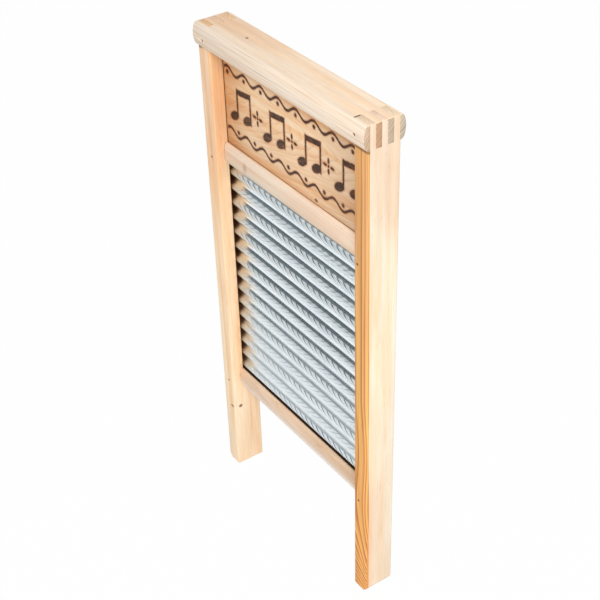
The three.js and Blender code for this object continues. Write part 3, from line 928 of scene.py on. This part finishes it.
# %% Shape the sheet
deselect()
bpy.ops.mesh.primitive_grid_add(x_subdivisions=column_count, y_subdivisions=len(heights) - 1,
                                size=2)
rub_sheet = bpy.context.object
rub_sheet.name = "roped_zinc_sheet"
for vertex in rub_sheet.data.vertices:
    column = round((vertex.co.x + 1) / 2 * column_count)
    z = heights[round((vertex.co.y + 1) / 2 * (len(heights) - 1))]
    hand, up = rope_place(z)
    strand = abs(math.sin(math.pi * column / COLUMNS_PER_STRAND))
    swell = ROPE_BULGE * (1 - up ** 2) - ROPE_RELIEF * (1 - strand) * (1 - up ** 4)
    x = first_column + column * column_step + hand * STRAND_LEAD / 2 * up
    vertex.co = Vector((x, wave(z) - swell, z)) * MM
activate(rub_sheet)
bpy.ops.object.mode_set(mode="EDIT")
for side in (-1, 1):
    bpy.ops.mesh.select_all(action="SELECT")
    bpy.ops.mesh.bisect(plane_co=(side * half_sheet * MM, 0, 0), plane_no=(side, 0, 0),
                        clear_outer=True)
bpy.ops.mesh.select_all(action="SELECT")
bpy.ops.mesh.normals_make_consistent(inside=False)
bpy.ops.object.mode_set(mode="OBJECT")
if sum(face.normal.y for face in rub_sheet.data.polygons) > 0:
    rub_sheet.data.flip_normals()
print("open sheet, faces:", len(rub_sheet.data.polygons))

# %% Give the sheet its gauge and finish
METAL = 0.5
SHEET_SMOOTH_ANGLE = math.radians(50)

thick = rub_sheet.modifiers.new("gauge", "SOLIDIFY")
thick.thickness = METAL * MM
thick.offset = -1
bpy.ops.object.modifier_apply(modifier=thick.name)
bpy.ops.object.shade_smooth_by_angle(angle=SHEET_SMOOTH_ANGLE)
rub_sheet.data.materials.clear()
rub_sheet.data.materials.append(sheet_zinc)
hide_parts("rub_sheet")
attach(rub_sheet, "root")
print("sheet faces:", len(rub_sheet.data.polygons))

# %% [markdown]
# ## Brads
# Six brads pin the rails. A new head for each would only repeat the solid's, which has the right
# shape, so the solids stay and get their finish.

# %% Finish the brads
brads = [solid for node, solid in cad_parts.items() if "brad" in node]
for solid in brads:
    solid.data.materials.clear()
    solid.data.materials.append(brad_steel)
print("brads finished:", len(brads))

# %% [markdown]
# ## Floor and light
# A pale floor runs under everything and keeps the washboard's shadow. One large soft lamp stands to
# the right and above, and the pale room fills in. More lamps would whiten the background too, but
# also wash out the wood, so floor and room are white only where the camera or a reflection sees
# them.

# %% Floor
FLOOR_HALF = 6.0
FLOOR_GREY = (0.79, 0.79, 0.79, 1)
FLOOR_GLOW_SHARE = 0.98
WHITE = (1, 1, 1, 1)


def seen(tree):
    """1 where the camera, a reflection or a view through glass looks, and 0 for other light."""
    rays = add_node(tree, "ShaderNodeLightPath").outputs
    return highest(tree, rays["Is Camera Ray"], rays["Is Glossy Ray"], rays["Is Transmission Ray"])


deselect()
bpy.ops.mesh.primitive_plane_add(size=2 * FLOOR_HALF, location=(0, 0, 0))
floor = bpy.context.object
floor.name = "studio_floor"
floor_white, floor_tree, matt = new_finish("floor_white")
matt.inputs["Base Color"].default_value = FLOOR_GREY
matt.inputs["Roughness"].default_value = 0.9
glow = add_node(floor_tree, "ShaderNodeEmission", {"Color": WHITE, "Strength": 1.0})
glow_share = times(floor_tree, seen(floor_tree), FLOOR_GLOW_SHARE)
both = add_node(floor_tree, "ShaderNodeMixShader", {0: glow_share, 1: matt.outputs[0]})
feed(floor_tree, both.inputs[2], glow.outputs[0])
feed(floor_tree, floor_tree.nodes["Material Output"].inputs["Surface"], both.outputs[0])
floor.data.materials.append(floor_white)
print("floor, m:", 2 * FLOOR_HALF)

# %% Room
FILL_LEVEL = 0.52

world = bpy.data.worlds.new("pale_room")
bpy.context.scene.world = world
world.use_nodes = True
room = world.node_tree
strength = plus(room, FILL_LEVEL, times(room, seen(room), 1 - FILL_LEVEL))
background = room.nodes["Background"]
background.inputs["Color"].default_value = WHITE
feed(room, background.inputs["Strength"], strength)
print("room's fill:", FILL_LEVEL)

# %% Lamp
LAMP_PLACE = Vector((1.7, -1.3, 1.95))
LAMP_POWER = 55
LAMP_SIZE = 1.4

softbox_data = bpy.data.lights.new("key_softbox", "AREA")
softbox_data.energy = LAMP_POWER
softbox_data.size = LAMP_SIZE
softbox = bpy.data.objects.new("key_softbox", softbox_data)
bpy.context.collection.objects.link(softbox)
aim = (cad_low + cad_high) / 2 - LAMP_PLACE
aimed = aim.to_track_quat("-Z", "Y").to_matrix().to_4x4()
softbox.matrix_world = Matrix.Translation(LAMP_PLACE) @ aimed
print("lamp's distance, m:", round(aim.length, 2))

# %% [markdown]
# ## The dark card
# What metal shows is its surroundings, so in a room that is white all round the sheet would be
# white too. As studios do, a dark card stands to the left in front, out of sight of the camera. The
# ridges' upper sides turn grey in it. It glows faintly, lighter towards its top, and it throws
# neither shadow nor light on the wood.

# %% Dark card
CARD_DISTANCE = 1.05
CARD_AZIMUTH = math.radians(22)
CARD_HALF_WIDTH = 0.68
CARD_LOW, CARD_HIGH = 0.35, 0.80
CARD_TONES = [(0.0, (0.03, 0.04, 0.05, 1)), (0.2, (0.08, 0.10, 0.11, 1)),
              (0.6, (0.13, 0.16, 0.17, 1))]

outward = Vector((-math.sin(CARD_AZIMUTH), -math.cos(CARD_AZIMUTH), 0))
card_middle = outward * CARD_DISTANCE + Vector((0, 0, (CARD_LOW + CARD_HIGH) / 2))
facing_in = (-outward).to_track_quat("Z", "Y").to_matrix().to_4x4()
card_size = Matrix.Diagonal((CARD_HALF_WIDTH, (CARD_HIGH - CARD_LOW) / 2, 1, 1))
deselect()
bpy.ops.mesh.primitive_plane_add(size=2.0)
card = bpy.context.object
card.name = "dark_card"
card.matrix_world = Matrix.Translation(card_middle) @ facing_in @ card_size
card_grey, card_tree, _ = new_finish("card_grey")
card_place = add_node(card_tree, "ShaderNodeTexCoord").outputs["Object"]
card_height = spread(card_tree, axes_of(card_tree, card_place)[1], -1.0, 1.0, curve="LINEAR")
card_tone = ramp(card_tree, card_height, CARD_TONES)
card_glow = add_node(card_tree, "ShaderNodeEmission", {"Color": card_tone, "Strength": 1.0})
feed(card_tree, card_tree.nodes["Material Output"].inputs["Surface"], card_glow.outputs[0])
card.data.materials.append(card_grey)
card.visible_camera = False
card.visible_diffuse = False
card.visible_shadow = False
print("card stands, m:", [round(v, 2) for v in card_middle])

# %% [markdown]
# ## Finish
# Colours are shown plainly; the object's box was printed before dressing.

# %% Show colours plainly
bpy.context.scene.view_settings.view_transform = "Standard"
